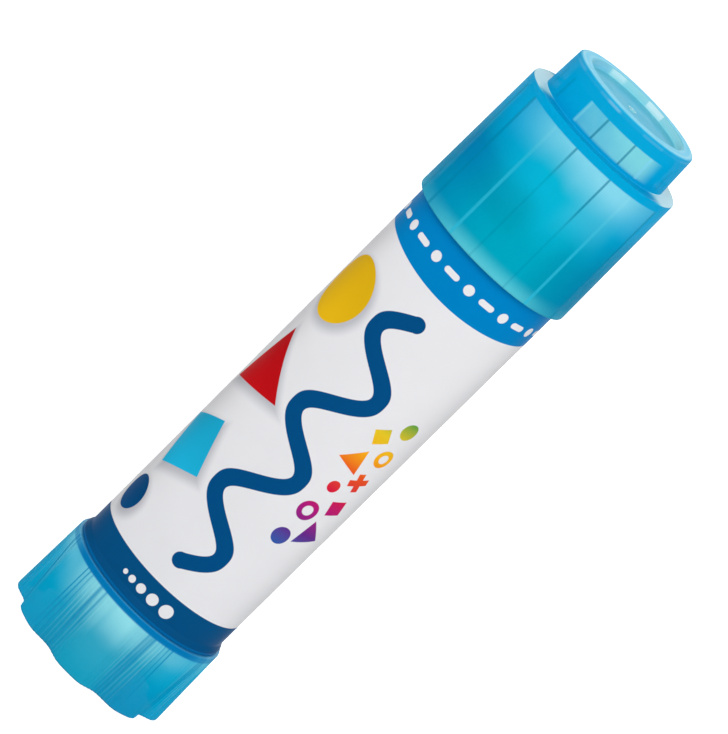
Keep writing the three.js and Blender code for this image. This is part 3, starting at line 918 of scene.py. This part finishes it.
class GLUESTICK_OT_tube(Operator):
    """Builds the white tube with its floor, flared foot, ledge, neck, snap bead and guide ribs"""

    bl_idname = "glue_stick.tube"
    bl_label = "Tube"

    def execute(self, context):
        look = context.scene.glue_stick_tube
        foot_z, mouth = BARREL_LOW.z / MM, BARREL_HIGH.z / MM
        body, foot = look.body_radius / MM, look.foot_radius / MM
        neck, bore = look.neck_radius / MM, look.bore_radius / MM
        ledge, bead, hole = mouth - 17.1, mouth - 11.5, 3.1
        floor = foot_z + 1.2
        guide_height, guide_foot = 0.4, 3.6
        section = rounded([
            (hole, foot_z, 0.15), (foot, foot_z, 0.1), (foot, foot_z + 0.3, 0.1), (body, foot_z + 1.0, 0.2),
            (body, ledge, 0.15), (neck, ledge, 0.1), (neck, bead - 0.6, 0.2), (neck + 0.12, bead, 0.3),
            (neck, bead + 0.6, 0.2), (neck, mouth, 0.25), (bore, mouth, 0.12), (bore, mouth - 1.2, 0),
            (bore, mouth - 1.6, 0), (bore, floor, 0.4), (hole, floor, 0.15),
        ], closed=True)

        def radius_at(angle, radius, z):
            across = abs((angle % 90) - 45)
            inside = abs(radius - bore) < 0.02 and z > floor + 0.6
            rise = smooth_rise((mouth - 1.2 - z) / 0.4) if inside else 0.0
            return radius - guide_height * rise * smooth_rise((guide_foot - across) / 1.4)

        mesh = turned_mesh("barrel_tube", section, TUBE_STEPS, radius_at)
        material = white_plastic(look.white, "tube_plastic")
        place_piece("barrel_tube", mesh, material, "barrel", "barrel")
        return {"FINISHED"}


class GLUESTICK_OT_sleeve(Operator):
    """Wraps the printed film round the tube, with its overlap at the left"""

    bl_idname = "glue_stick.sleeve"
    bl_label = "Printed sleeve"

    def execute(self, context):
        look = context.scene.glue_stick_sleeve
        outer, film = look.radius / MM, look.film / MM
        low, high = KNOB_HIGH.z / MM + 0.05, SLEEVE_HIGH.z / MM + 0.45
        inner, flare = outer - film, SLEEVE_HIGH.x / MM - outer
        seam, lap_width, lap_height = 261, 24, 0.07
        section = rounded([
            (outer + flare, low, 0.03), (outer + flare, low + 0.55, 0.15), (outer, low + 1.3, 0.3),
            (outer, high, 0.04), (inner, high, 0.03), (inner, low + 1.3, 0.3),
            (inner + flare, low + 0.55, 0.15), (inner + flare, low, 0.03),
        ], closed=True)

        def radius_at(angle, radius, z):
            past_seam = (angle - seam) % 360
            lap = 1.0 - smooth_rise((past_seam - 1) / lap_width) if past_seam >= 1 else past_seam
            return radius + (lap_height * lap if z > low + 1.35 and radius > inner + 0.05 else 0.0)

        mesh = turned_mesh("printed_sleeve", section, TUBE_STEPS, radius_at)
        material = printed_film(look)
        place_piece("printed_sleeve", mesh, material, "barrel", "label_sleeve")
        return {"FINISHED"}


class GLUESTICK_OT_glue(Operator):
    """Builds the stick of glue with its softly rounded, slightly domed top"""

    bl_idname = "glue_stick.glue"
    bl_label = "Glue"

    def execute(self, context):
        look = context.scene.glue_stick_glue
        radius, top = look.radius / MM, look.top / MM
        low = GLUE_LOW.z / MM
        cup, in_cup = low + 6.7, 8.8
        bore, core = 4.9, 86.0
        section = rounded([
            (0, core, 0), (bore, core, 0.2), (bore, low, 0.1), (in_cup, low, 0.3), (in_cup, cup, 0.05),
            (radius, cup, 0.3), (radius, top - 0.25, 0.7), (7.0, top - 0.06, 0.5), (3.0, top, 0.5),
            (0, top, 0),
        ])

        def radius_at(angle, r, z):
            a = math.radians(angle)
            worn = 0.04 * math.sin(3 * a + 0.7) + 0.03 * math.sin(7 * a + z * 0.35)
            return r - (0.07 + worn if z > cup + 0.5 and r > 6.0 else 0.0)

        mesh = turned_mesh("glue_block", section, TUBE_STEPS // 2, radius_at)
        place_piece("glue_block", mesh, glue_paste(look), "carrier", "glue")
        return {"FINISHED"}


class GLUESTICK_OT_screw(Operator):
    """Finishes the lead screw and the glue carrier in white plastic"""

    bl_idname = "glue_stick.screw"
    bl_label = "Screw and carrier"

    def execute(self, context):
        white = context.scene.glue_stick_tube.white
        for node in ("spindle", "carrier"):
            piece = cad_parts[node]
            piece.data.materials.clear()
            piece.data.materials.append(white_plastic(white, node + "_plastic"))
        return {"FINISHED"}


class GLUESTICK_OT_stage(Operator):
    """Sets the floor, the soft lights, the surroundings and the camera"""

    bl_idname = "glue_stick.stage"
    bl_label = "Stage"

    def execute(self, context):
        look = context.scene.glue_stick_stage
        self.set_camera(context, look)
        self.lay_floor(context)
        self.set_surroundings(context, look)
        soft_light("key_light", (-0.02, -0.59, 0.51), look.key_power)
        soft_light("left_light", (-0.7, -0.19, 0.34), look.left_power)
        soft_light("right_light", (0.7, -0.19, 0.34), look.right_power)
        soft_light("back_light", (0.0, 0.65, 0.48), look.back_power)
        context.scene.view_settings.view_transform = "Standard"
        return {"FINISHED"}

    def set_camera(self, context, look):
        turn = -look.azimuth
        level = math.cos(look.elevation)
        away = Vector((math.sin(turn) * level, -math.cos(turn) * level, math.sin(look.elevation)))
        right = Vector((math.cos(turn), math.sin(turn), 0.0))
        up = away.cross(right)
        c, s = math.cos(look.roll), math.sin(look.roll)
        axes = Matrix((right * c + up * s, up * c - right * s, away)).transposed()
        lens = bpy.data.cameras.new("camera")
        lens.sensor_fit = "VERTICAL"
        lens.sensor_height = 36.0
        lens.lens = look.lens
        camera = bpy.data.objects.new("camera", lens)
        context.scene.collection.objects.link(camera)
        aim = Vector((0.0, 0.0, look.aim_height)) - right * look.aim_left
        camera.matrix_world = Matrix.Translation(aim + away * look.distance) @ axes.to_4x4()
        context.scene.camera = camera

    def lay_floor(self, context):
        half = FLOOR_SIDE / 2
        drop = -FLOOR_DROP * MM
        mesh = bpy.data.meshes.new("floor")
        ground = ((-half, -half), (half, -half), (half, half), (-half, half))
        mesh.from_pydata([(x, y, drop) for x, y in ground], [], [(0, 1, 2, 3)])
        floor = bpy.data.objects.new("floor", mesh)
        context.scene.collection.objects.link(floor)
        graph = Graph("floor_paint")
        graph.surface("Base Color", (0.82, 0.82, 0.82))
        graph.surface("Roughness", 0.9)
        path = graph.node("ShaderNodeLightPath")
        seen = graph.math("MAXIMUM", path.outputs["Is Camera Ray"], path.outputs["Is Glossy Ray"])
        seen = graph.math("MAXIMUM", seen, path.outputs["Is Transmission Ray"])
        graph.surface("Emission Color", WHITE)
        graph.surface("Emission Strength", seen * 0.8)
        mesh.materials.append(graph.material)

    def set_surroundings(self, context, look):
        world = bpy.data.worlds.new("surroundings")
        world.use_nodes = True
        tree = world.node_tree
        background = tree.nodes["Background"]
        background.inputs["Color"].default_value = (*WHITE, 1.0)
        path = tree.nodes.new("ShaderNodeLightPath")
        seen = tree.nodes.new("ShaderNodeMath")
        seen.operation = "MAXIMUM"
        tree.links.new(path.outputs["Is Camera Ray"], seen.inputs[0])
        tree.links.new(path.outputs["Is Glossy Ray"], seen.inputs[1])
        level = tree.nodes.new("ShaderNodeMapRange")
        level.inputs["To Min"].default_value = look.ambient
        tree.links.new(seen.outputs[0], level.inputs["Value"])
        tree.links.new(level.outputs[0], background.inputs["Strength"])
        context.scene.world = world


def soft_light(name, place, power):
    """A square area light that faces the middle of the stick."""
    light = bpy.data.lights.new(name, "AREA")
    light.shape = "SQUARE"
    light.size = LIGHT_SIDE
    light.energy = power
    lamp = bpy.data.objects.new(name, light)
    bpy.context.scene.collection.objects.link(lamp)
    middle = Vector((0.0, 0.0, CAD_BOX[1][2] / 2))
    facing = (middle - Vector(place)).to_track_quat("-Z", "Y").to_matrix().to_4x4()
    lamp.matrix_world = Matrix.Translation(place) @ facing


class GLUESTICK_PT_panel(Panel):
    """Lists the pieces and their settings"""

    bl_label = "Glue stick"
    bl_idname = "GLUESTICK_PT_panel"
    bl_space_type = "VIEW_3D"
    bl_region_type = "UI"
    bl_category = "Glue stick"

    def draw(self, context):
        for operator, group in STEPS:
            box = self.layout.box()
            box.operator(operator.bl_idname)
            if group:
                settings = getattr(context.scene, group)
                for key in settings.__annotations__:
                    box.prop(settings, key)


STEPS = (
    (GLUESTICK_OT_tube, "glue_stick_tube"),
    (GLUESTICK_OT_sleeve, "glue_stick_sleeve"),
    (GLUESTICK_OT_screw, None),
    (GLUESTICK_OT_glue, "glue_stick_glue"),
    (GLUESTICK_OT_knob, "glue_stick_knob"),
    (GLUESTICK_OT_cap, "glue_stick_cap"),
    (GLUESTICK_OT_stage, "glue_stick_stage"),
)
GROUPS = {
    "glue_stick_cap": CapSettings,
    "glue_stick_knob": KnobSettings,
    "glue_stick_tube": TubeSettings,
    "glue_stick_sleeve": SleeveSettings,
    "glue_stick_glue": GlueSettings,
    "glue_stick_stage": StageSettings,
}
CLASSES = (*GROUPS.values(), *(operator for operator, _ in STEPS), GLUESTICK_PT_panel)


def register():
    for cls in CLASSES:
        bpy.utils.register_class(cls)
    for key, cls in GROUPS.items():
        setattr(bpy.types.Scene, key, PointerProperty(type=cls))


def unregister():
    for key in GROUPS:
        delattr(bpy.types.Scene, key)
    for cls in reversed(CLASSES):
        bpy.utils.unregister_class(cls)


def main():
    register()
    for operator, _ in STEPS:
        module, name = operator.bl_idname.split(".")
        getattr(getattr(bpy.ops, module), name)()


if __name__ == "__main__":
    main()
